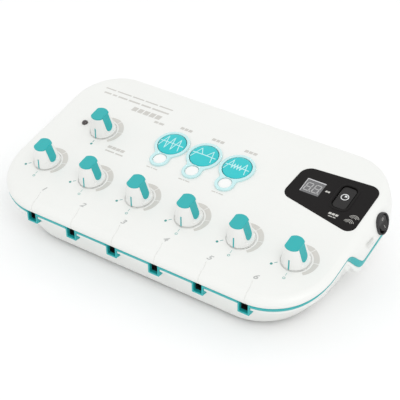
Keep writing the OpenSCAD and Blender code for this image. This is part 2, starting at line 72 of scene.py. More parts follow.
# tub: outline at its floor, and how much it grows over each TUB_RISE of height
TUB_Z, TUB_HALF_W, TUB_FRONT, TUB_BACK, TUB_R = 2.0, 117.5, 63.5, 62.0, 38.0
TUB_RISE, GROW_SIDE, GROW_FRONT, GROW_BACK, GROW_R = 30.0, 20.6, 12.0, 11.5, 4.0
FULL_GROWTH_FRONT, FULL_GROWTH_MORE = 0.96, 0.25
BOSSES = ((-80, -46), (80, -46), (-101, 43), (101, 43), (0, 56))
BOSS_BORE_R = 2.8
FEET = ((-97, -43), (97, -43), (-97, 29), (97, 29))
DOOR_X, DOOR_Y0, DOOR_Y1, DOOR_GAP = 84.0, -8.0, 46.0, 0.3
INLET_X, INLET_Z, INLET_R = -92.0, 22.0, 4.6

KNOB_BASE_R, KNOB_TOP_R, KNOB_H = 10.4, 7.1, 17.6
WAVE_X, WAVE_U, WAVE_PITCH, WAVE_R = -2.0, 57.7, 29.4, 11.2
LENS_V, LENS_R = -17.4, 5.3
LED_X, LED_U = -110.0, 48.5
SOCKET_PITCH, SOCKET_W, SOCKET_H, SOCKET_SHIFT = 37.25, 6.8, 8.4, 1.0
ROCKER_R, ROCKER_LEAN = 7.4, math.radians(14)
rocker_pin = Vector(JOINTS["power_rocker_tip"]["pos_m"]) / MM
TIMER_X, TIMER_U = 112.2, 67.0
DISPLAY_X, DISPLAY_U = 87.2, 65.8


# ---------------------------------------------------------------- materials


def principled(name, color, rough, **values):
    """A new material's nodes, its shader and its object coordinates."""
    material = bpy.data.materials.new(name)
    material.use_nodes = True
    nodes, links = material.node_tree.nodes, material.node_tree.links
    shader = nodes["Principled BSDF"]
    shader.inputs["Base Color"].default_value = (*color, 1)
    shader.inputs["Roughness"].default_value = rough
    for key, value in values.items():
        shader.inputs[key.replace("_", " ")].default_value = value
    place = nodes.new("ShaderNodeTexCoord").outputs["Object"]
    return material, nodes, links, shader, place


def noise(nodes, links, place, scale, detail=3.0):
    texture = nodes.new("ShaderNodeTexNoise")
    texture.inputs["Scale"].default_value = scale
    texture.inputs["Detail"].default_value = detail
    links.new(place, texture.inputs["Vector"])
    return texture.outputs["Fac"]


def between(nodes, links, fac, low, high, a=0.3, b=0.7):
    """Maps a noise to numbers from low to high."""
    ramp = nodes.new("ShaderNodeMapRange")
    ramp.inputs["From Min"].default_value = a
    ramp.inputs["From Max"].default_value = b
    ramp.inputs["To Min"].default_value = low
    ramp.inputs["To Max"].default_value = high
    links.new(fac, ramp.inputs["Value"])
    return ramp.outputs["Result"]


def tint(nodes, links, fac, a, b):
    """Mixes two colours by fac."""
    mix = nodes.new("ShaderNodeMix")
    mix.data_type = "RGBA"
    mix.inputs["A"].default_value = (*a, 1)
    mix.inputs["B"].default_value = (*b, 1)
    links.new(fac, mix.inputs["Factor"])
    return mix.outputs["Result"]


def bump(nodes, links, shader, height, strength, distance):
    node = nodes.new("ShaderNodeBump")
    node.inputs["Strength"].default_value = strength
    node.inputs["Distance"].default_value = distance
    links.new(height, node.inputs["Height"])
    links.new(node.outputs["Normal"], shader.inputs["Normal"])


def moulded(name, color, rough, grain=2600, depth=0.00003, strength=0.25, vary=0.03, spread=0.06,
            **values):
    """Moulded plastic or rubber: fine grain, a little uneven in tone and gloss."""
    material, nodes, links, shader, place = principled(name, color, rough, **values)
    cloud = noise(nodes, links, place, 22)
    shade = between(nodes, links, cloud, 0, 1)
    darker = tuple(c * (1 - vary) for c in color)
    lighter = tuple(min(1, c * (1 + vary)) for c in color)
    links.new(tint(nodes, links, shade, darker, lighter), shader.inputs["Base Color"])
    patches = noise(nodes, links, place, 140, 5)
    gloss = between(nodes, links, patches, rough - spread / 2, rough + spread / 2)
    links.new(gloss, shader.inputs["Roughness"])
    bump(nodes, links, shader, noise(nodes, links, place, grain, 2), strength, depth)
    return material


def turned_metal(name, color, rough):
    """Plated metal with fine turning marks."""
    material, nodes, links, shader, place = principled(name, color, rough, Metallic=1.0)
    marks = nodes.new("ShaderNodeTexWave")
    marks.wave_type = "RINGS"
    marks.inputs["Scale"].default_value = 900
    marks.inputs["Distortion"].default_value = 2
    links.new(place, marks.inputs["Vector"])
    links.new(between(nodes, links, noise(nodes, links, place, 400, 4), rough - 0.06, rough + 0.1),
              shader.inputs["Roughness"])
    bump(nodes, links, shader, marks.outputs["Fac"], 0.15, 0.00002)
    return material


def circuit_green():
    """Green solder mask with tracks showing through."""
    base, track = (0.012, 0.14, 0.06), (0.03, 0.26, 0.1)
    material, nodes, links, shader, place = principled("circuit_green", base, 0.35)
    tracks = nodes.new("ShaderNodeTexBrick")
    tracks.inputs["Color1"].default_value = (*base, 1)
    tracks.inputs["Color2"].default_value = (*base, 1)
    tracks.inputs["Mortar"].default_value = (*track, 1)
    tracks.inputs["Scale"].default_value = 90
    tracks.inputs["Mortar Size"].default_value = 0.06
    links.new(place, tracks.inputs["Vector"])
    links.new(tracks.outputs["Color"], shader.inputs["Base Color"])
    bump(nodes, links, shader, tracks.outputs["Fac"], 0.2, 0.00005)
    return material


def cell_sleeve():
    """Printed sleeve of a cell: a dark blue field with a pale ring near each end."""
    blue, pale = (0.02, 0.06, 0.22), (0.6, 0.6, 0.55)
    material, nodes, links, shader, place = principled("cell_sleeve", blue, 0.3, Metallic=0.3)
    rings = nodes.new("ShaderNodeTexWave")
    rings.bands_direction = "X"
    rings.inputs["Scale"].default_value = 6.2
    links.new(place, rings.inputs["Vector"])
    fac = between(nodes, links, rings.outputs["Fac"], 0, 1, 0.93, 0.96)
    links.new(tint(nodes, links, fac, blue, pale), shader.inputs["Base Color"])
    bump(nodes, links, shader, noise(nodes, links, place, 300), 0.1, 0.00004)
    return material


SHELL = moulded("shell_white", (0.8, 0.808, 0.785), 0.36, Coat_Weight=0.12, Coat_Roughness=0.22,
                vary=0.008)
KNOB = moulded("knob_white", (0.8, 0.806, 0.788), 0.3, Coat_Weight=0.3, Coat_Roughness=0.18,
               vary=0.008)
TEAL = moulded("teal_paint", (0.012, 0.4, 0.41), 0.42, Coat_Weight=0.05, Coat_Roughness=0.25,
               vary=0.03)
AQUA = moulded("aqua_rubber", (0.012, 0.53, 0.56), 0.42, grain=1800, strength=0.3, vary=0.05,
               Coat_Weight=0.15, Coat_Roughness=0.3)
BEZEL = moulded("bezel_clear", (0.6, 0.87, 0.88), 0.16, depth=0.00001, vary=0.03,
                Transmission_Weight=0.12, Coat_Weight=0.5, Coat_Roughness=0.08)
LENS = moulded("lens_milky", (0.84, 0.85, 0.84), 0.22, depth=0.00001, vary=0.01,
               Coat_Weight=0.4, Coat_Roughness=0.1)
LAMP = moulded("lamp_dark", (0.03, 0.02, 0.02), 0.12, depth=0.00001, Coat_Weight=0.8,
               Coat_Roughness=0.05)
GLOSS = moulded("black_gloss", (0.007, 0.006, 0.006), 0.42, grain=3200, depth=0.00002,
                vary=0.15, Specular_IOR_Level=0.14)
KEY_BLACK = moulded("black_key", (0.014, 0.013, 0.013), 0.42, grain=2400, vary=0.15,
                    Specular_IOR_Level=0.3)
BLACK = moulded("black_moulded", (0.02, 0.02, 0.021), 0.5, grain=2000, strength=0.4, vary=0.15)
GREY = moulded("grey_moulded", (0.16, 0.16, 0.17), 0.5, vary=0.1)
RUBBER = moulded("foot_rubber", (0.018, 0.018, 0.018), 0.75, grain=1500, depth=0.00008,
                 strength=0.5, vary=0.2)
WINDOW = moulded("display_grey", (0.12, 0.12, 0.125), 0.15, depth=0.00001, vary=0.05,
                 Coat_Weight=0.6, Coat_Roughness=0.08)
SEGMENT = moulded("segment_grey", (0.42, 0.42, 0.42), 0.4, vary=0.05)
FRAME_LINE = moulded("window_edge", (0.62, 0.62, 0.63), 0.3, vary=0.04)
INK_WHITE = moulded("ink_white", (0.8, 0.82, 0.82), 0.5, vary=0.03)
INK_PALE = moulded("ink_pale", (0.52, 0.83, 0.84), 0.45, vary=0.03)
INK_GREY = moulded("ink_grey", (0.46, 0.47, 0.46), 0.5, vary=0.05)
INK_LIGHT = moulded("ink_light_grey", (0.56, 0.55, 0.52), 0.5, vary=0.05)
INK_FAINT = moulded("ink_faint_grey", (0.66, 0.66, 0.64), 0.5, vary=0.03)
INK_SCALE = moulded("ink_scale", (0.6, 0.59, 0.555), 0.42, vary=0.03)
INK_TEAL = moulded("ink_teal", (0.06, 0.3, 0.28), 0.45, vary=0.05)
INK_MINT = moulded("ink_mint", (0.3, 0.5, 0.47), 0.45, vary=0.05)
STEEL = turned_metal("plated_steel", (0.62, 0.63, 0.65), 0.28)
BRASS = turned_metal("contact_brass", (0.78, 0.57, 0.22), 0.25)
BOARD = circuit_green()
SLEEVE = cell_sleeve()


# ---------------------------------------------------------------- mesh tools


def mesh_from(bm, name="mesh"):
    bmesh.ops.remove_doubles(bm, verts=bm.verts, dist=1e-5)
    bmesh.ops.recalc_face_normals(bm, faces=bm.faces)
    mesh = bpy.data.meshes.new(name)
    bm.to_mesh(mesh)
    bm.free()
    return mesh


def moved(mesh, matrix):
    mesh.transform(matrix)
    return mesh


def shift(x, y, z):
    return Matrix.Translation((x, y, z))


def turn(degrees, axis):
    return Matrix.Rotation(math.radians(degrees), 4, axis)


def on_deck(x, u, w=0.0):
    """Placement on the deck: x across, u up the slope, w out of it."""
    rise = shift(x, ROW_Y + u * CA, DECK_Z + u * SA)
    return rise @ Matrix.Rotation(TILT, 4, "X") @ shift(0, 0, w)


def arc(cx, cy, r, a, b, n):
    """Points on an arc from angle a to b in degrees, both ends included."""
    angles = [math.radians(a + (b - a) * i / n) for i in range(n + 1)]
    return [(cx + r * math.cos(t), cy + r * math.sin(t)) for t in angles]


def circle(r, cx=0.0, cy=0.0, n=96):
    return arc(cx, cy, r, 0, 360, n)[:-1]


def rounded(corners, radii, n=10):
    """Outline through corner points, each rounded by its radius."""
    loop = []
    count = len(corners)
    for i, (corner, r) in enumerate(zip(corners, radii)):
        p = Vector(corner)
        a = (Vector(corners[i - 1]) - p).normalized()
        b = (Vector(corners[(i + 1) % count]) - p).normalized()
        half = math.acos(max(-1, min(1, a.dot(b)))) / 2
        centre = p + (a + b).normalized() * (r / math.sin(half))
        reach = r / math.tan(half)
        start, end = p + a * reach - centre, p + b * reach - centre
        t0 = math.atan2(start.y, start.x)
        sweep = (math.atan2(end.y, end.x) - t0 + math.pi) % (2 * math.pi) - math.pi
        for k in range(n + 1):
            t = t0 + sweep * k / n
            loop.append((centre.x + r * math.cos(t), centre.y + r * math.sin(t)))
    return loop


def box_loop(w, h, r, cx=0.0, cy=0.0):
    x, y = w / 2, h / 2
    corners = [(cx - x, cy - y), (cx + x, cy - y), (cx + x, cy + y), (cx - x, cy + y)]
    return rounded(corners, [r] * 4)


def plate(loops, low, high, bevel=0.0, steps=3, both=False):
    """A flat plate with the outline and holes of loops, its upper rim (or both) rounded."""
    bm = bmesh.new()
    edges = []
    for loop in loops:
        verts = [bm.verts.new((x, y, low)) for x, y in loop]
        edges += [bm.edges.new((verts[i - 1], verts[i])) for i in range(len(verts))]
    bmesh.ops.triangle_fill(bm, use_beauty=True, use_dissolve=False, edges=edges)
    grown = bmesh.ops.extrude_face_region(bm, geom=bm.faces[:])["geom"]
    lifted = [g for g in grown if isinstance(g, bmesh.types.BMVert)]
    bmesh.ops.translate(bm, verts=lifted, vec=(0, 0, high - low))
    bmesh.ops.recalc_face_normals(bm, faces=bm.faces)
    if bevel:
        rim = []
        for e in bm.edges:
            level = {round(v.co.z, 4) for v in e.verts}
            wanted = level == {round(high, 4)} or (both and level == {round(low, 4)})
            if wanted and len(e.link_faces) == 2 and e.calc_face_angle() > 1:
                rim.append(e)
        bmesh.ops.bevel(bm, geom=rim, offset=bevel, segments=steps, profile=0.5,
                        affect="EDGES", clamp_overlap=True)
    return mesh_from(bm)


def lathe(profile, n=96):
    """A solid turned about Z from (radius, height) points; it closes where the radius is 0."""
    bm = bmesh.new()
    rings = []
    for r, z in profile:
        if r < 1e-6:
            rings.append([bm.verts.new((0, 0, z))])
        else:
            rings.append([bm.verts.new((r * math.cos(2 * math.pi * i / n),
                                        r * math.sin(2 * math.pi * i / n), z)) for i in range(n)])
    closed = profile[0][0] > 1e-6 and profile[-1][0] > 1e-6
    pairs = list(zip(rings, rings[1:])) + ([(rings[-1], rings[0])] if closed else [])
    for a, b in pairs:
        for i in range(n):
            j = (i + 1) % n
            quad = [a[i % len(a)], a[j % len(a)], b[j % len(b)], b[i % len(b)]]
            unique = [v for k, v in enumerate(quad) if v not in quad[:k]]
            if len(unique) > 2:
                bm.faces.new(unique)
    return mesh_from(bm)


def sweep(points, width, height, up=(0, 0, 1), n=8, closed=False):
    """A rounded stroke along points: width across, height above and below the line."""
    pts = [Vector(p) if len(p) == 3 else Vector((*p, 0)) for p in points]
    up = Vector(up)
    bm = bmesh.new()
    rings = []
    count = len(pts)
    for i, p in enumerate(pts):
        before = pts[i - 1] if closed or i else p
        after = pts[(i + 1) % count] if closed or i < count - 1 else p
        a, b = (p - before).normalized(), (after - p).normalized()
        t = (a + b).normalized() if a.length and b.length else (a if a.length else b)
        leg = b if b.length else a
        side = up.cross(t).normalized()
        lift = t.cross(side).normalized()
        mitre = min(1.8, 1 / max(0.3, t.dot(leg)))
        ring = []
        for k in range(n):
            w = 2 * math.pi * k / n
            ring.append(bm.verts.new(p + side * math.cos(w) * width / 2 * mitre
                                     + lift * math.sin(w) * height))
        rings.append(ring)
    pairs = list(zip(rings, rings[1:])) + ([(rings[-1], rings[0])] if closed else [])
    for a, b in pairs:
        for k in range(n):
            bm.faces.new([a[k], a[(k + 1) % n], b[(k + 1) % n], b[k]])
    if not closed:
        bm.faces.new(rings[0])
        bm.faces.new(rings[-1][::-1])
    return mesh_from(bm)


def joined(*meshes):
    bm = bmesh.new()
    for mesh in meshes:
        bm.from_mesh(mesh)
        bpy.data.meshes.remove(mesh)
    mesh = bpy.data.meshes.new("joined")
    bm.to_mesh(mesh)
    bm.free()
    return mesh


def with_modifier(mesh, kind, **settings):
    """The mesh after one modifier."""
    o = bpy.data.objects.new("work", mesh)
    bpy.context.scene.collection.objects.link(o)
    modifier = o.modifiers.new("work", kind)
    for key, value in settings.items():
        setattr(modifier, key, value)
    graph = bpy.context.evaluated_depsgraph_get()
    result = bpy.data.meshes.new_from_object(o.evaluated_get(graph))
    bpy.data.objects.remove(o)
    return result


def boolean(mesh, tools, operation="DIFFERENCE"):
    """Cuts tools from mesh, or joins or intersects them, one after another."""
    for tool in tools:
        o = bpy.data.objects.new("tool", tool)
        bpy.context.scene.collection.objects.link(o)
        mesh = with_modifier(mesh, "BOOLEAN", object=o, operation=operation, solver="EXACT")
        bpy.data.objects.remove(o)
    return mesh


def softened(mesh, width, steps=2, angle=32):
    """The same mesh with its sharp edges rounded."""
    return with_modifier(mesh, "BEVEL", width=width, segments=steps, limit_method="ANGLE",
                         angle_limit=math.radians(angle), harden_normals=False,
                         use_clamp_overlap=True)


def piece(name, mesh, body, material, at=None, stands_for=(), angle=38):
    """Makes a mesh in millimetres into a piece that rides on a body."""
    mesh.name = name
    mesh.transform(Matrix.Scale(MM, 4) @ (at or Matrix.Identity(4)))
    mesh.materials.clear()
    mesh.materials.append(material)
    mesh.polygons.foreach_set("use_smooth", [True] * len(mesh.polygons))
    mesh.polygons.foreach_set("material_index", [0] * len(mesh.polygons))
    mesh.set_sharp_from_angle(angle=math.radians(angle))
    o = bpy.data.objects.new(name, mesh)
    bpy.context.scene.collection.objects.link(o)
    o.modifiers.new("even_shading", "WEIGHTED_NORMAL").keep_sharp = True
    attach(o, body)
    if stands_for:
        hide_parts(*stands_for)
    return o


# ---------------------------------------------------------------- body outline


def deck(y):
    return DECK_Z + TA * (y - ROW_Y)


def step(y):
    t = min(1, max(0, (y - STEP_FROM) / STEP_LENGTH))
    return t * t * (3 - 2 * t)


def front_depth(y):
    """Depth of the parting line before the step: it draws a little nearer to the deck."""
    t = min(1, max(0, (y - RISE_FROM) / RISE_LENGTH))
    return PART_FRONT - RISE * t * t * (3 - 2 * t)


def step_slope(y):
    t = min(1, max(0, (y - STEP_FROM) / STEP_LENGTH))
    return (PART_BACK - PART_FRONT) * 6 * t * (1 - t) / STEP_LENGTH


def part_depth(y, off):
    """Depth under the deck of the line off above the parting line; it swells to the back."""
    start = front_depth(y)
    return (start + (PART_BACK - start) * step(y)
            - off * math.sqrt(1 + step_slope(y) ** 2) * (1 + BAND_SWELL * step(y)))


def outline(corner_steps=20):
    """Samples round the body: place of the corner centre from 0 to 1 both ways, and direction."""
    samples = []
    fine = [0.02 * i for i in range(51)]
    samples += [(1, f, 0) for f in fine]
    samples += [(1, 1, 90 * i / corner_steps) for i in range(1, corner_steps)]
    samples += [(1 - 2 * f, 1, 90) for f in [i / 24 for i in range(25)]]
    samples += [(-1, 1, 90 + 90 * i / corner_steps) for i in range(1, corner_steps)]
    samples += [(-1, 1 - f, 180) for f in fine]
    samples += [(-1, 0, 180 + 90 * i / corner_steps) for i in range(1, corner_steps)]
    samples += [(2 * f - 1, 0, 270) for f in [i / 24 for i in range(25)]]
    samples += [(1, 0, 270 + 90 * i / corner_steps) for i in range(1, corner_steps)]
    return samples


OUTLINE = outline()


def bulge(y, d):
    """How far the wall stands out at depth d: fullest half way down, tucked in at the band."""
    s = step(y)
    t = min(1, d / (front_depth(y) * (1 - s) + PART_BACK * s))
    flare = FLARE[0] + (FLARE[1] - FLARE[0]) * s
    return flare * t + 4 * t * (1 - t) * (BULGE[0] + (BULGE[1] - BULGE[0]) * s)


def body_point(sample, inset, d):
    """A point of the body: drawn in by inset, at depth d under the deck."""
    fx, fy, a = sample
    c, s = math.cos(math.radians(a)), math.sin(math.radians(a))
    front, back = FRONT_R - FRONT, BACK - BACK_R
    corner = FRONT_R + (BACK_R - FRONT_R) * fy
    centre_y = front + (back - front) * fy
    out = bulge(centre_y + (corner - inset) * s, max(0, d))
    out *= 1 - BACK_WALL_LOSS * max(0, s) * fy
    r = corner - inset + out
    y = centre_y + r * s
    return Vector((fx * (HALF_W - corner) + r * c, y, deck(y) - d))


def body_edge(sample, inset, off):
    """A point of the body at off above the parting line."""
    y = body_point(sample, inset, 10).y
    d = part_depth(y, off)
    return body_point(sample, inset, d), d


def tub_point(sample, inset, z):
    """A point of the tapering tub at height z."""
    fx, fy, a = sample
    c, s = math.cos(math.radians(a)), math.sin(math.radians(a))
    floor_y = TUB_R - TUB_FRONT + (TUB_BACK - 2 * TUB_R + TUB_FRONT) * fy + TUB_R * s
    t = min((z - TUB_Z) / TUB_RISE, FULL_GROWTH_FRONT + FULL_GROWTH_MORE * step(floor_y))
    r0 = TUB_R + GROW_R * t
    front, back = r0 - TUB_FRONT - GROW_FRONT * t, TUB_BACK + GROW_BACK * t - r0
    x = fx * (TUB_HALF_W + GROW_SIDE * t - r0) + (r0 - inset) * c
    y = front + (back - front) * fy + (r0 - inset) * s
    return Vector((x, y, z))


def loft(rows, caps=True):
    """Closed surface through rows of equal rings; without caps the last row meets the first."""
    bm = bmesh.new()
    rings = [[bm.verts.new(p) for p in row] for row in rows]
    n = len(rows[0])
    pairs = list(zip(rings, rings[1:])) + ([] if caps else [(rings[-1], rings[0])])
    for a, b in pairs:
        for i in range(n):
            bm.faces.new([a[i], a[(i + 1) % n], b[(i + 1) % n], b[i]])
    if caps:
        bm.faces.new(rings[0][::-1])
        bm.faces.new(rings[-1])
    return mesh_from(bm)


# ---------------------------------------------------------------- shells


def number_x(i):
    return (i - (CHANNELS - 1) / 2) * SOCKET_PITCH


def socket_x(i):
    return number_x(i) + SOCKET_SHIFT


SOCKET_TOP = deck(-FRONT) - PART_FRONT + 1.2
SOCKET_FLOOR = SOCKET_TOP - SOCKET_H
FASCIA = rounded([(69.2, 50.6), (132.6, 37.2), (133.0, 86.9), (71.6, 83.0)],
                 [7.5, 6.5, 8.0, 9.5], 14)


def block(x0, x1, y0, y1, z0, z1):
    return plate([[(x0, y0), (x1, y0), (x1, y1), (x0, y1)]], z0, z1)


def cylinder(r, z0, z1, n=64):
    return lathe([(0, z0), (r, z0), (r, z1), (0, z1)], n)


def at_rocker():
    return (shift(*rocker_pin) @ Matrix.Rotation(math.pi / 2 - ROCKER_LEAN, 4, "Y")
            @ shift(0, 0, 4.5))


def at_knob(i):
    return shift(*knob_at[i]) @ Matrix.Rotation(TILT, 4, "X")


def channel_grooves():
    """Fine grooves that run from each channel number over the front edge."""
    tools = []
    run = [(0.0, 12.0, 0), (0.7, 9.5, 0), (1.3, 7.0, 0), (1.7, 4.5, 0)]
    roll = [(1.75 + 0.3 * k / 4, EDGE_R * (1 - math.sin(k * math.pi / 8)),
             EDGE_R * (1 - math.cos(k * math.pi / 8))) for k in range(5)]
    fall = [(2.4, 0, 4.1), (2.9, 0, 5.6), (3.2, 0, 7.2)]
    for i in range(CHANNELS):
        line = []
        for dx, inset, d in run + roll + fall:
            y = inset - FRONT - bulge(-FRONT, d)
            line.append((number_x(i) + dx, y, deck(y) - d))
        tools.append(sweep(line, 0.8, 0.34, up=(1, 0, 0), n=12))
    return tools


def upper_shell():
    rows = [[body_point(s, EDGE_R, 0) for s in OUTLINE]]
    for k in range(1, 9):
        t = k * math.pi / 16
        rows.append([body_point(s, EDGE_R * (1 - math.sin(t)), EDGE_R * (1 - math.cos(t)))
                     for s in OUTLINE])
    low = [body_edge(s, 0, BAND_H / 2 + SEAM)[1] for s in OUTLINE]
    for share in (0.12, 0.24, 0.36, 0.48, 0.6, 0.72, 0.84, 0.93):
        rows.append([body_point(s, 0, EDGE_R + (d - 0.35 - EDGE_R) * share)
                     for s, d in zip(OUTLINE, low)])
    rows.append([body_point(s, 0, d - 0.3) for s, d in zip(OUTLINE, low)])
    rows.append([body_point(s, 0.1, d - 0.08) for s, d in zip(OUTLINE, low)])
    rows.append([body_point(s, 0.35, d) for s, d in zip(OUTLINE, low)])
    rows.append([body_point(s, WALL, d) for s, d in zip(OUTLINE, low)])
    rows.append([body_point(s, WALL, WALL) for s in OUTLINE])
    shell = loft(rows)
    tools = [moved(cylinder(3.65, -8, 4), at_knob(i)) for i in range(KNOBS)]
    rim = [(10.5, -0.6), (11.0, -0.6), (11.0, 1), (10.5, 1)]
    tools += [moved(lathe(rim), at_knob(i)) for i in range(KNOBS)]
    for i in range(3):
        x = WAVE_X + (i - 1) * WAVE_PITCH
        tools.append(moved(cylinder(WAVE_R + 0.3, -8, 4, 96), on_deck(x, WAVE_U)))
        tools.append(moved(cylinder(2.1, -8, 4), on_deck(x, WAVE_U - 18)))
    tools.append(moved(cylinder(2.55, -8, 4), on_deck(LED_X, LED_U)))
    tools.append(moved(plate([FASCIA], -1.4, 4), on_deck(0, 0)))
    tools.append(moved(block(-8.4, 8.4, -8, 8, -6, 2), on_deck(DISPLAY_X, DISPLAY_U)))
    tools.append(moved(block(-6.6, 6.6, -11.9, 11.9, -6, 2), on_deck(TIMER_X, TIMER_U)))
    tools.append(moved(cylinder(ROCKER_R + 0.35, -6, 6), at_rocker()))
    shell = boolean(shell, tools + channel_grooves())
    piece("upper_shell_visual", shell, "base", SHELL, stands_for=["upper_shell"],
          angle=30)


def socket_frame_loop(grow, top):
    """U-shaped frame round a socket, a little wider at its top, seen from the front."""
    w0, w1 = SOCKET_W / 2 + 1.2 + grow, SOCKET_W / 2 + 2.1 + grow
    low = SOCKET_FLOOR - 1.3 - grow
    r = 0.35
    return [(-w1, top), (-w0 - 0.1, SOCKET_FLOOR + 6.6), *arc(-w0 + r, low + r, r, 180, 270, 5),
            *arc(w0 - r, low + r, r, 270, 360, 5), (w0 + 0.1, SOCKET_FLOOR + 6.6), (w1, top)]


def trim_band():
    section = [(1.9, 0.5), (-0.2, 0.5), (-0.42, 0.42), (-BAND_PROUD, 0.3), (-BAND_PROUD, -0.3),
               (-0.42, -0.42), (-0.2, -0.5), (1.9, -0.5)]
    rows = [[body_edge(s, inset, f * BAND_H)[0] for s in OUTLINE] for inset, f in section]
    band = loft(rows, caps=False)
    cuts = [block(socket_x(i) - SOCKET_W / 2 - 1, socket_x(i) + SOCKET_W / 2 + 1, -FRONT - 3,
                  -FRONT + 4, SOCKET_FLOOR, SOCKET_TOP + 4) for i in range(CHANNELS)]
    parts = [boolean(band, cuts)]
    top = SOCKET_FLOOR + SOCKET_H + 0.35
    hole = SOCKET_W / 2
    for i in range(CHANNELS):
        outer = socket_frame_loop(0, top)
        inner = [(hole, top), *arc(hole - 0.3, SOCKET_FLOOR + 0.3, 0.3, 0, -90, 4),
                 *arc(-hole + 0.3, SOCKET_FLOOR + 0.3, 0.3, 270, 180, 4), (-hole, top)]
        frame_mesh = plate([outer + inner], 0, 2.8, 0.28, 3)
        stand = shift(socket_x(i), -FRONT + 1.9, 0) @ turn(90, "X")
        parts.append(moved(frame_mesh, stand))
        # thin lining of the shell's notch behind the frame, in the frame's colour
        skin = plate([socket_frame_loop(0.14, top) + socket_frame_loop(0.04, top)[::-1]], 0, 4)
        parts.append(moved(skin, shift(socket_x(i), -FRONT + 5.5, 0) @ turn(90, "X")))
    piece("trim_band_visual", joined(*parts), "base", TEAL, stands_for=["trim_band"],
          angle=40)


def lower_shell():
    edge = -BAND_H / 2 - SEAM
    curve = 2.2
    rows = []
    for k in range(7):
        t = k * math.pi / 12
        rows.append([tub_point(s, curve * (1 - math.sin(t)), TUB_Z + curve * (1 - math.cos(t)))
                     for s in OUTLINE])

    tops = [body_edge(s, 0.6, edge - SHELF_T)[0].z for s in OUTLINE]
    for share in (0.35, 0.7, 0.97):
        rows.append([tub_point(s, 0, TUB_Z + curve + (z - TUB_Z - curve) * share)
                     for s, z in zip(OUTLINE, tops)])

    def shelf(s, inset, off):
        """A point of the shelf, which is never inside the tub's own wall."""
        p = body_edge(s, inset, off)[0]
        q = tub_point(s, inset, p.z)
        a = math.radians(s[2])
        out = Vector((math.cos(a), math.sin(a), 0))
        return p if (p - q).dot(out) > 0 else Vector((q.x, q.y, p.z))

    rows.append([shelf(s, 0.6, edge - SHELF_T) for s in OUTLINE])
    rows.append([shelf(s, 0.22, edge - SHELF_T + 0.12) for s in OUTLINE])
    rows.append([shelf(s, 0.06, edge - SHELF_T + 0.5) for s in OUTLINE])
    rows.append([shelf(s, 0.05, edge - 0.3) for s in OUTLINE])
    rows.append([shelf(s, 0.3, edge) for s in OUTLINE])
    rows.append([shelf(s, WALL, edge) for s in OUTLINE])
    rows.append([tub_point(s, WALL, TUB_Z + WALL) for s in OUTLINE])
    shell = loft(rows)
    tools = []
    for i in range(CHANNELS):
        x, half = socket_x(i), SOCKET_W / 2 + 1.4
        tools.append(block(x - half, x + half, -FRONT - 4, -FRONT + 8, SOCKET_FLOOR - 1.4,
                           SOCKET_TOP + 6))
        notch = plate([socket_frame_loop(0.16, SOCKET_TOP + 4)], 0, 9)
        tools.append(moved(notch, shift(x, -FRONT + 6, 0) @ turn(90, "X")))
    tools += [moved(cylinder(BOSS_BORE_R, -2, 6), shift(x, y, 0)) for x, y in BOSSES]
    tools.append(block(-DOOR_X, DOOR_X, DOOR_Y0, DOOR_Y1, 0, 8))
    tools.append(moved(cylinder(INLET_R, 0, 26), shift(INLET_X, 80, INLET_Z) @ turn(90, "X")))
    for i in range(-4, 5):
        tools.append(plate([box_loop(2, 22, 0.95, i * 9, -41)], 0, 8))
    shell = boolean(shell, tools)
    sleeve = [(BOSS_BORE_R, TUB_Z + 1), (5.1, TUB_Z + 1), (4.3, 23.5), (1.65, 23.5), (1.65, 18),
              (BOSS_BORE_R, 18)]
    sleeves = [moved(lathe(sleeve, 48), shift(x, y, 0)) for x, y in BOSSES]
    rims = [[(-DOOR_X - t, DOOR_Y0 - t), (DOOR_X + t, DOOR_Y0 - t), (DOOR_X + t, DOOR_Y1 + t),
             (-DOOR_X - t, DOOR_Y1 + t)] for t in (3, 1)]
    walls = plate(rims, TUB_Z + 1, TUB_Z + 23)
    piece("lower_shell_visual", joined(shell, walls, *sleeves), "base", SHELL,
          stands_for=["lower_shell"], angle=30)


def battery_cover():
    low, high = TUB_Z + 0.2, TUB_Z + 2.2
    door = box_loop(2 * (DOOR_X - DOOR_GAP), DOOR_Y1 - DOOR_Y0 - 2 * DOOR_GAP, 1.5, 0,
                    (DOOR_Y0 + DOOR_Y1) / 2)
    cover = plate([door], low, high, 0.3, 3, both=True)
    ribs = [moved(sweep([(-9, 34 + 2 * i), (9, 34 + 2 * i)], 0.9, 0.7), shift(0, 0, low))
            for i in range(5)]
    arrow = plate([[(-4, 29), (4, 29), (0, 25.5)]], low - 0.5, low + 0.5)
    cover = boolean(cover, [*ribs, arrow])
    clips = [block(x, x + 8, -7.6, -5.6, high - 0.1, high + 2) for x in (-50, -4, 42)]
    piece("battery_cover_visual", joined(cover, *clips), "base", SHELL,
          stands_for=["battery_cover"])


def rubber_feet():
    foot = [(0, 0.25), (4.6, 0.25), (5.0, 0), (6.0, 0), (6.5, 0.35), (7.0, 1.98), (0, 1.98)]
    feet = [moved(lathe(foot, 64), shift(x, y, 0)) for x, y in FEET]
    piece("rubber_feet_visual", joined(*feet), "base", RUBBER, stands_for=["rubber_feet"])


# ---------------------------------------------------------------- knobs


FLAT_TILT = math.degrees(math.atan(2.6 / 15.4))
CONE_TILT = math.degrees(math.atan((KNOB_BASE_R - KNOB_TOP_R) / (KNOB_H - 1.3)))
STRIP_W = 3.6
CAP_Z = KNOB_H - 1.0


def knob_flats():
    side = [(12, -1), (12, 2.2), (7.6, 3.2), (5.0, 18.6), (-5.0, 18.6), (-7.6, 3.2), (-12, 2.2),
            (-12, -1)]
    return moved(plate([side], -20, 20), turn(90, "X"))


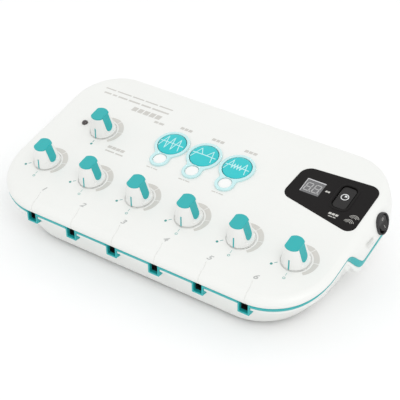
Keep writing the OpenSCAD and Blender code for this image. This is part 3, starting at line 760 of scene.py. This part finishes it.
def knob_strip(w, low, high):
    """The teal strip on the right flat, from its rounded foot to the top."""
    loop = [*arc(0, 3.4, w, 180, 360, 24), (w, 14.45), (-w, 14.45)]
    stand = Matrix(((0, 0, 1, 0), (1, 0, 0, 0), (0, 1, 0, 0), (0, 0, 0, 1)))
    lean = shift(7.6, 0, 3.2) @ turn(-FLAT_TILT, "Y")
    return moved(plate([loop], low, high), lean @ stand)


def knob_pointer(half, low, high, z0, z1):
    lean = shift(0, -KNOB_BASE_R, 0.5) @ turn(-CONE_TILT, "X")
    return moved(block(-half, half, low, high, z0, z1), lean)


def knob_meshes():
    profile = [(0, CAP_Z), (KNOB_TOP_R, CAP_Z), (KNOB_BASE_R - 0.12, 0.9), (KNOB_BASE_R - 0.3, 0.5),
               (7, 0.5), (7, 4.6), (3.02, 4.6), (3.02, 15), (0, 15)]
    body = boolean(lathe(profile, 128), [knob_flats()], "INTERSECT")
    body = boolean(body, [knob_strip(STRIP_W + 0.04, -1.1, 2), knob_pointer(0.55, -1, 0.75, -1, 8.4)])
    cap = lathe([(0, CAP_Z + 0.02), (KNOB_TOP_R - 0.02, CAP_Z + 0.02), (KNOB_TOP_R - 0.35, KNOB_H),
                 (0, KNOB_H)], 128)
    cap = boolean(cap, [knob_flats()], "INTERSECT")
    cap = boolean(cap, [knob_strip(STRIP_W, -0.95, 0.12)], "UNION")
    pointer = knob_pointer(0.5, -0.12, 0.6, 0.1, 8.2)
    insert = joined(softened(cap, 0.22, 3), softened(pointer, 0.12, 2))
    return softened(body, 0.16, 3), insert


def knobs():
    body, insert = knob_meshes()
    for i in range(KNOBS):
        k = i + 1
        piece(f"knob_{k}_body_visual", body.copy(), f"knob_{k}", KNOB, at_knob(i),
              [f"knob_body_{k}"], angle=34)
        piece(f"knob_{k}_insert_visual", insert.copy(), f"knob_{k}", TEAL, at_knob(i),
              [f"knob_insert_{k}"], angle=34)


# ---------------------------------------------------------------- prints round the knobs


SCALE_IN, SCALE_MID, SCALE_END = 12.2, 16.2, 14.4
DIVIDERS = (62, 13)
PRINT_H = 0.05


def scale_radius(a):
    """Outer radius of the scale ring at angle a in degrees."""
    if a > 70:
        return SCALE_IN + 0.5 + (SCALE_MID - SCALE_IN - 0.5) * max(0, (158 - a) / 88) ** 0.8
    if a < 10:
        return SCALE_END + (SCALE_MID - SCALE_END) * ((a + 42) / 52) ** 0.7 if a > -42 else SCALE_END
    return SCALE_MID


def scale_ring():
    """The grey segments round a knob, from ten o'clock to past four."""
    cuts = [158, DIVIDERS[0] + 1.1, DIVIDERS[0] - 1.1, DIVIDERS[1] + 1.1, DIVIDERS[1] - 1.1, -42]
    parts = []
    for a, b in zip(cuts[::2], cuts[1::2]):
        n = max(6, int(abs(a - b) / 3))
        angles = [a + (b - a) * i / n for i in range(n + 1)]
        outer = [(scale_radius(t) * math.cos(math.radians(t)),
                  scale_radius(t) * math.sin(math.radians(t))) for t in angles]
        inner = arc(0, 0, SCALE_IN, b, a, n)
        parts.append(plate([outer + inner], -0.02, PRINT_H))
    return joined(*parts)


def spot(x, y, r, hole=0.0):
    loops = [circle(r, x, y, 40)] + ([circle(hole, x, y, 32)] if hole else [])
    return plate(loops, -0.02, PRINT_H)


def dash(x0, y0, x1, y1, width):
    return sweep([(x0, y0), (x1, y1)], width, PRINT_H, n=8)


def knob_prints():
    scales, solid, open_marks = [], [], []
    for i in range(KNOBS):
        scales.append(moved(scale_ring(), at_knob(i)))
        if i < CHANNELS:
            solid.append(moved(spot(-13.4, -10.55, 1.0), at_knob(i)))
            solid.append(moved(dash(-11.9, -9.0, -10.2, -7.4, 0.5), at_knob(i)))
            open_marks.append(moved(spot(0.55, -17.6, 1.1, 0.55), at_knob(i)))
            open_marks.append(moved(dash(0.4, -15.4, 0.3, -12.9, 0.5), at_knob(i)))
        else:
            solid.append(moved(spot(0.5, -17.0, 1.0), at_knob(i)))
            solid.append(moved(dash(0.4, -15.2, 0.3, -12.9, 0.5), at_knob(i)))
    piece("knob_scales", joined(*scales), "base", INK_SCALE)
    piece("knob_start_marks", joined(*solid), "base", INK_TEAL)
    piece("knob_zero_marks", joined(*open_marks), "base", INK_MINT)


def digit(text, size, slant=0.3):
    """A numeral as a thin raised print, centred on its place."""
    curve = bpy.data.curves.new("digit", "FONT")
    curve.body = text
    curve.size = size
    curve.shear = slant
    curve.extrude = PRINT_H
    curve.offset = 0.14
    curve.align_x, curve.align_y = "CENTER", "CENTER"
    o = bpy.data.objects.new("digit", curve)
    bpy.context.scene.collection.objects.link(o)
    graph = bpy.context.evaluated_depsgraph_get()
    mesh = bpy.data.meshes.new_from_object(o.evaluated_get(graph))
    bpy.data.objects.remove(o)
    return mesh


def word_bars(widths, height, gap, lean=0.0):
    """A row of plain bars in the rhythm of a printed word; it says nothing."""
    total = sum(widths) + gap * (len(widths) - 1)
    x, parts = -total / 2, []
    for w in widths:
        loop = [(x + lean, height / 2), (x, -height / 2), (x + w, -height / 2),
                (x + w + lean, height / 2)]
        parts.append(plate([loop], -0.02, PRINT_H))
        x += w + gap
    return joined(*parts)


def deck_prints():
    wide = Matrix.Diagonal((1.25, 1, 1, 1))
    numbers = [moved(digit(str(i + 1), 5.7), on_deck(number_x(i), -25.6) @ wide)
               for i in range(CHANNELS)]
    piece("channel_numbers", joined(*numbers), "base", INK_GREY)
    grey = []
    for i in range(3):
        x = WAVE_X + (i - 1) * WAVE_PITCH
        grey.append(moved(word_bars([3.1, 3.0, 3.1], 2.6, 0.7, 0.4), on_deck(x, WAVE_U + 19.6)))
        grey.append(moved(word_bars([3.4, 1.3, 3.8], 0.9, 0.7), on_deck(x - 0.3, WAVE_U - 27.8)))
    grey.append(moved(word_bars([3.4, 3.4, 3.4, 3.4], 2.7, 0.6, 0.4), on_deck(-69, 34.6)))
    grey.append(moved(word_bars([8.4, 7.0], 1.3, 1.3, 0.2), on_deck(-68, 30.3)))
    grey.append(moved(word_bars([10, 14, 11, 12, 13], 1.2, 1.6, 0.2), on_deck(-87, 91.5)))
    grey.append(moved(word_bars([7, 4, 9, 11, 9, 16], 1.6, 1.6, 0.3), on_deck(-86.5, 86.4)))
    grey.append(moved(word_bars([4.6, 4.4, 4.8, 4.6, 4.6], 4.6, 1.1, 0.7), on_deck(-71.5, 79.6)))
    grey.append(moved(word_bars([3.6, 4.4], 2.2, 0.8, 0.4), on_deck(-55.5, 74.2)))
    piece("deck_marks", joined(*grey), "base", INK_LIGHT)


# ---------------------------------------------------------------- wave keys


def neck_outline(r1, r2, gap, rf, n=48):
    """Outline of two circles, one above the other, joined by hollow fillets."""
    a, b = r1 + rf, r2 + rf
    y = (gap * gap + a * a - b * b) / (2 * gap)
    x = math.sqrt(max(0, a * a - y * y))
    up = math.degrees(math.atan2(y, x))
    down = math.degrees(math.atan2(gap - y, x))
    loop = arc(0, 0, r1, -up, 180 + up, n * 2)
    loop += arc(-x, -y, rf, up, -down, 10)[1:-1]
    loop += arc(0, -gap, r2, 180 - down, 360 + down, n)
    loop += arc(x, -y, rf, 180 + down, 180 - up, 10)[1:-1]
    return loop


WAVES = {
    1: [(-9.3, -5.6), (-6.2, 6.2), (-3.4, -6.4), (-0.6, 6.4), (2.2, -6.4), (5.0, 6.2), (8.2, -5.6)],
    2: [(-9.3, -5.2), (-5.0, 6.2), (-1.6, 0.2), (2.2, 0.2), (5.4, 6.2), (8.4, -5.2)],
    3: [(-9.3, -5.2), (-5.6, 6.0), (-3.8, -2.4), (-2.6, 2.4), (-1.4, -2.4), (-0.2, 2.4),
        (1.0, -2.4), (2.2, 2.4), (3.4, -2.4), (6.0, 5.6), (8.6, -5.0)],
}


def dense(points, gap=0.8):
    """The same path with points at most gap apart."""
    path = [points[0]]
    for (x0, y0), (x1, y1) in zip(points, points[1:]):
        n = math.ceil(math.hypot(x1 - x0, y1 - y0) / gap)
        path += [(x0 + (x1 - x0) * k / n, y0 + (y1 - y0) * k / n) for k in range(1, n + 1)]
    return path


def wave_keys():
    dome = [(0, 2.15), (3, 2.12), (6, 2.03), (8.6, 1.9), (10.1, 1.72), (10.8, 1.45), (11.1, 1.05),
            (11.2, 0.5), (11.2, -2.9), (12.5, -2.9), (12.5, -4), (2, -4), (2, -5.2), (0, -5.2)]
    bezel_loops = [neck_outline(13.9, 7.8, 17.4, 4.0), circle(WAVE_R + 0.35),
                   circle(LENS_R + 0.1, 0, LENS_V, 64)]
    lens = [(0, 1.35), (2.4, 1.28), (4.0, 1.1), (4.9, 0.85), (5.25, 0.55), (5.3, 0.03), (2, 0.03),
            (2, -5), (0, -5)]
    bezels, lenses = [], []
    for k in (1, 2, 3):
        place = on_deck(WAVE_X + (k - 2) * WAVE_PITCH, WAVE_U)
        piece(f"wave_key_{k}_visual", lathe(dome, 128), f"wave_key_{k}", AQUA, place,
              [f"wave_key_{k}"], angle=50)
        base = sweep(dense([(-10.2, 0.1), (10.2, 0.1)]), 0.8, 0.14)
        wave = sweep(dense(WAVES[k]), 0.68, 0.16)
        icon = joined(base, wave)
        for v in icon.vertices:
            v.co.z += 2.17 - 0.0033 * (v.co.x ** 2 + v.co.y ** 2)
        piece(f"wave_icon_{k}", icon, f"wave_key_{k}", INK_PALE, place)
        bezels.append(moved(plate(bezel_loops, 0.03, 1.5, 0.5, 4), place))
        lenses.append(moved(lathe(lens, 64), place @ shift(0, LENS_V, 0)))
    piece("wave_bezels_visual", joined(*bezels), "base", BEZEL, stands_for=["wave_bezels"],
          angle=45)
    piece("status_lenses_visual", joined(*lenses), "base", LENS, stands_for=["status_lenses"],
          angle=45)


def indicator():
    dome = [(2.5 * math.sin(math.radians(9 * k)), 0.2 + 1.9 * math.cos(math.radians(9 * k)))
            for k in range(11)]
    profile = dome + [(2.5, -3.4), (2.9, -3.4), (2.9, -4.4), (0, -4.4)]
    legs = [moved(cylinder(0.25, -11.6, -4.3, 12), shift(x, 0, 0)) for x in (-1.27, 1.27)]
    piece("indicator_led_visual", joined(lathe(profile, 48), *legs), "base", LAMP,
          on_deck(LED_X, LED_U), ["indicator_led"], angle=45)


# ---------------------------------------------------------------- timer panel


def seven_segments():
    """The seven bars of one digit and its point, all of them dim."""
    w, h, t = 2.15, 3.9, 0.78
    bars = []

    def bar(x0, y0, x1, y1):
        p, q = Vector((x0, y0)), Vector((x1, y1))
        d = (q - p).normalized()
        s = Vector((-d.y, d.x)) * t / 2
        p, q = p + d * 0.14, q - d * 0.14
        loop = [p, p + d * t / 2 + s, q - d * t / 2 + s, q, q - d * t / 2 - s, p + d * t / 2 - s]
        bars.append(plate([[(v.x, v.y) for v in loop]], 0, 0.06))

    for y in (-h, 0, h):
        bar(-w, y, w, y)
    for x in (-w, w):
        bar(x, -h, x, 0)
        bar(x, 0, x, h)
    bars.append(plate([circle(0.5, w + 1.15, -h, 20)], 0, 0.06))
    return joined(*bars)


def timer_panel():
    window_hole = box_loop(14.9, 13.6, 0.5, DISPLAY_X, DISPLAY_U)
    key_hole = box_loop(12.4, 23.0, 4.2, TIMER_X, TIMER_U)
    panel_loop = rounded([(69.35, 50.72), (132.45, 37.39), (132.85, 86.74), (71.75, 82.86)],
                         [7.5, 6.5, 8.0, 9.5], 14)
    panel = plate([panel_loop, window_hole, key_hole], -1.35, 0.3, 0.45, 4)
    place = on_deck(0, 0)
    piece("control_fascia_visual", panel, "base", GLOSS, place, ["control_fascia"],
          angle=45)
    rim = plate([box_loop(16.6, 27.4, 6.2), box_loop(12.8, 23.4, 4.4)], -0.2, 0.62, 0.4, 4)
    piece("timer_key_rim", rim, "base", GLOSS, on_deck(TIMER_X, TIMER_U), angle=60)

    window = plate([box_loop(14.7, 13.4, 0.4)], -1.1, 0.1, 0.15, 2)
    piece("display_window_visual", window, "base", WINDOW, on_deck(DISPLAY_X, DISPLAY_U),
          ["display_window"])
    digits = []
    slant = Matrix.Identity(4)
    slant[0][1] = 0.12
    for x in (-3.55, 3.1):
        digits.append(moved(seven_segments(), shift(x, -0.4, 0.08) @ slant))
    piece("display_digits", joined(*digits), "base", SEGMENT, on_deck(DISPLAY_X, DISPLAY_U))
    edges = [plate([[(-7.6, 6.3), (7.4, 6.3), (7.4, 7.1), (-7.6, 7.1)]], 0.05, 0.34, 0.1, 2),
             plate([[(-7.75, -6.6), (-7.25, -6.6), (-7.25, 7.1), (-7.75, 7.1)]], 0.05, 0.33, 0.1, 2)]
    piece("display_edge_lines", joined(*edges), "base", FRAME_LINE,
          on_deck(DISPLAY_X, DISPLAY_U))

    key = plate([box_loop(10.8, 21.2, 3.0)], -3.6, -0.35, 0.9, 5)
    flange = plate([box_loop(12.2, 22.6, 2.0)], -3.6, -2.8)
    stem = cylinder(2, -5.1, -3.5, 32)
    at_key = on_deck(TIMER_X, TIMER_U)
    piece("timer_key_visual", joined(key, flange, stem), "timer_key", KEY_BLACK, at_key,
          ["timer_key"], angle=45)
    ring = sweep(circle(2.75, 0, 0, 40), 0.62, 0.07, closed=True)
    wedge = plate([[(0, 0), *arc(0, 0, 1.75, 10, 90, 10)]], -0.02, 0.06)
    hand = sweep([(-0.1, -0.2), (-0.1, 1.9)], 0.4, 0.06)
    clock = moved(joined(ring, wedge, hand), shift(-0.3, 0.9, -0.35))
    piece("timer_key_icon", clock, "timer_key", INK_WHITE, at_key)

    marks = [moved(word_bars([1.5, 1.5], 1.6, 0.4, 0.3), on_deck(98.6, 66.5, 0.3)),
             moved(word_bars([2.1, 2.1, 2.1], 1.9, 0.5, 0.3), on_deck(112.6, 48.8, 0.3)),
             moved(word_bars([3.0, 2.2], 0.7, 0.6), on_deck(112.8, 46.2, 0.3))]
    for r in (1.7, 2.8, 3.9):
        for x, u in ((125.6, 45.6), (127.4, 50.6)):
            crest = sweep(arc(0, 0, r, 20, 160, 14), 0.32, 0.05)
            marks.append(moved(crest, on_deck(x, u, 0.3)))
    piece("fascia_marks", joined(*marks), "base", INK_LIGHT)


# ---------------------------------------------------------------- power switch


def power_switch():
    place = at_rocker()
    bezel = [(ROCKER_R - 0.5, 0.2), (ROCKER_R - 0.25, 0.9), (ROCKER_R + 0.1, 1.45),
             (ROCKER_R + 0.5, 1.5), (ROCKER_R + 0.75, 1.15), (ROCKER_R + 0.85, 0.5),
             (ROCKER_R + 0.85, -2.0), (ROCKER_R + 0.3, -2.0), (ROCKER_R + 0.3, -14),
             (0, -14), (0, -9), (ROCKER_R - 0.5, -9)]
    tabs = [block(-0.4, 0.4, y - 1.2, y + 1.2, -19, -13) for y in (-3, 3)]
    piece("power_switch_visual", joined(lathe(bezel, 96), *tabs), "base", BLACK, place,
          ["power_switch_body"], angle=45)
    side = [(-5.6, -1.4), (5.6, -1.4), (5.6, 6.3), (0, 5.2), (-5.6, 6.3)]
    rocker = moved(plate([side], -7, 7), turn(90, "X"))
    rocker = boolean(rocker, [cylinder(5.75, -3, 9, 96)], "INTERSECT")
    rocker = softened(rocker, 0.35, 4)
    pin = moved(cylinder(1.0, -ROCKER_R + 0.15, ROCKER_R - 0.15, 36), turn(90, "X"))
    rest = place @ shift(0, 0, -4.5) @ turn(-8, "Y")
    piece("power_rocker_visual", joined(rocker, pin), "power_rocker", KEY_BLACK, rest,
          ["power_rocker"], angle=40)
    marks = []
    for x, loops in ((-3.0, [circle(1.15, 0, 0, 32), circle(0.85, 0, 0, 32)]),
                     (3.0, [box_loop(2.2, 0.36, 0.1)])):
        face = rest @ shift(x, 0, 5.2 + abs(x) * 1.1 / 5.6) @ turn(-math.copysign(11.1, x), "Y")
        marks.append(moved(plate(loops, -0.05, 0.05), face))
    piece("power_rocker_marks", joined(*marks), "power_rocker", INK_LIGHT)
    lean = at_rocker() @ shift(0, -19.5, 0.02)
    label = [moved(word_bars([1.9, 1.9, 1.9, 1.9], 1.8, 0.5), lean @ shift(3.4, 0, 0) @ turn(90, "Z")),
             moved(word_bars([4.2, 3.4], 0.7, 0.7), lean @ shift(6.2, 0, 0) @ turn(90, "Z"))]
    piece("switch_marks", joined(*label), "base", INK_FAINT)


# ---------------------------------------------------------------- CAD nodes that stay


KEPT = {
    "main_board": BOARD, "battery_cells": SLEEVE, "buzzer": BLACK, "dc_inlet": BLACK,
    "display_module": BLACK, "tact_switches": GREY, "pot_bodies": GREY, "pot_nuts": STEEL,
    "case_screws": STEEL, "board_screws": STEEL, "dc_inlet_pin": STEEL,
    "battery_contacts": STEEL, "output_contacts": BRASS,
}
for n in range(1, CHANNELS + 1):
    KEPT[f"socket_{n}"] = BLACK
for n in range(1, KNOBS + 1):
    KEPT[f"pot_shaft_{n}"] = STEEL


def kept_nodes():
    for node, material in KEPT.items():
        o = frame["nodes"][node]
        o.data.materials.clear()
        o.data.materials.append(material)


# ---------------------------------------------------------------- camera, light and floor


CAMERA_AT = (0.36967, -0.54254, 0.51252)
CAMERA_FORWARD = (-0.44649, 0.67212, -0.59068)
CAMERA_ROLL, CAMERA_LENS = math.radians(-0.18), 96.74


def camera():
    data = bpy.data.cameras.new("camera")
    data.lens, data.sensor_width = CAMERA_LENS, 36
    data.clip_start, data.clip_end = 0.05, 20
    cam = bpy.data.objects.new("camera", data)
    bpy.context.scene.collection.objects.link(cam)
    cam.location = CAMERA_AT
    cam.rotation_mode = "QUATERNION"
    aim = Vector(CAMERA_FORWARD).to_track_quat("-Z", "Y")
    cam.rotation_quaternion = aim @ Matrix.Rotation(CAMERA_ROLL, 3, "Z").to_quaternion()
    bpy.context.scene.camera = cam


def area_light(name, place, target, size, power):
    data = bpy.data.lights.new(name, "AREA")
    data.shape, data.size, data.energy = "DISK", size, power
    o = bpy.data.objects.new(name, data)
    bpy.context.scene.collection.objects.link(o)
    o.location = place
    o.rotation_mode = "QUATERNION"
    o.rotation_quaternion = (Vector(target) - Vector(place)).to_track_quat("-Z", "Y")


def studio():
    world = bpy.data.worlds.new("studio")
    bpy.context.scene.world = world
    world.use_nodes = True
    sky = world.node_tree.nodes["Background"]
    sky.inputs["Color"].default_value = (1, 1, 1, 1)
    sky.inputs["Strength"].default_value = 1.02
    area_light("key", (0.75, -0.55, 1.25), (0, 0, 0.03), 0.9, 3.4)
    mesh = bpy.data.meshes.new("floor")
    reach = 6.0
    mesh.from_pydata([(-reach, -reach, 0), (reach, -reach, 0), (reach, reach, 0),
                      (-reach, reach, 0)], [], [(0, 1, 2, 3)])
    floor = bpy.data.objects.new("floor", mesh)
    floor.location.z = -0.0002
    bpy.context.scene.collection.objects.link(floor)
    mesh.materials.append(moulded("floor_pale", (0.93, 0.93, 0.93), 0.75, grain=300, vary=0.004))
    bpy.context.scene.view_settings.view_transform = "Standard"


camera()
studio()
kept_nodes()
upper_shell()
trim_band()
lower_shell()
battery_cover()
rubber_feet()
knobs()
knob_prints()
deck_prints()
wave_keys()
indicator()
timer_panel()
power_switch()
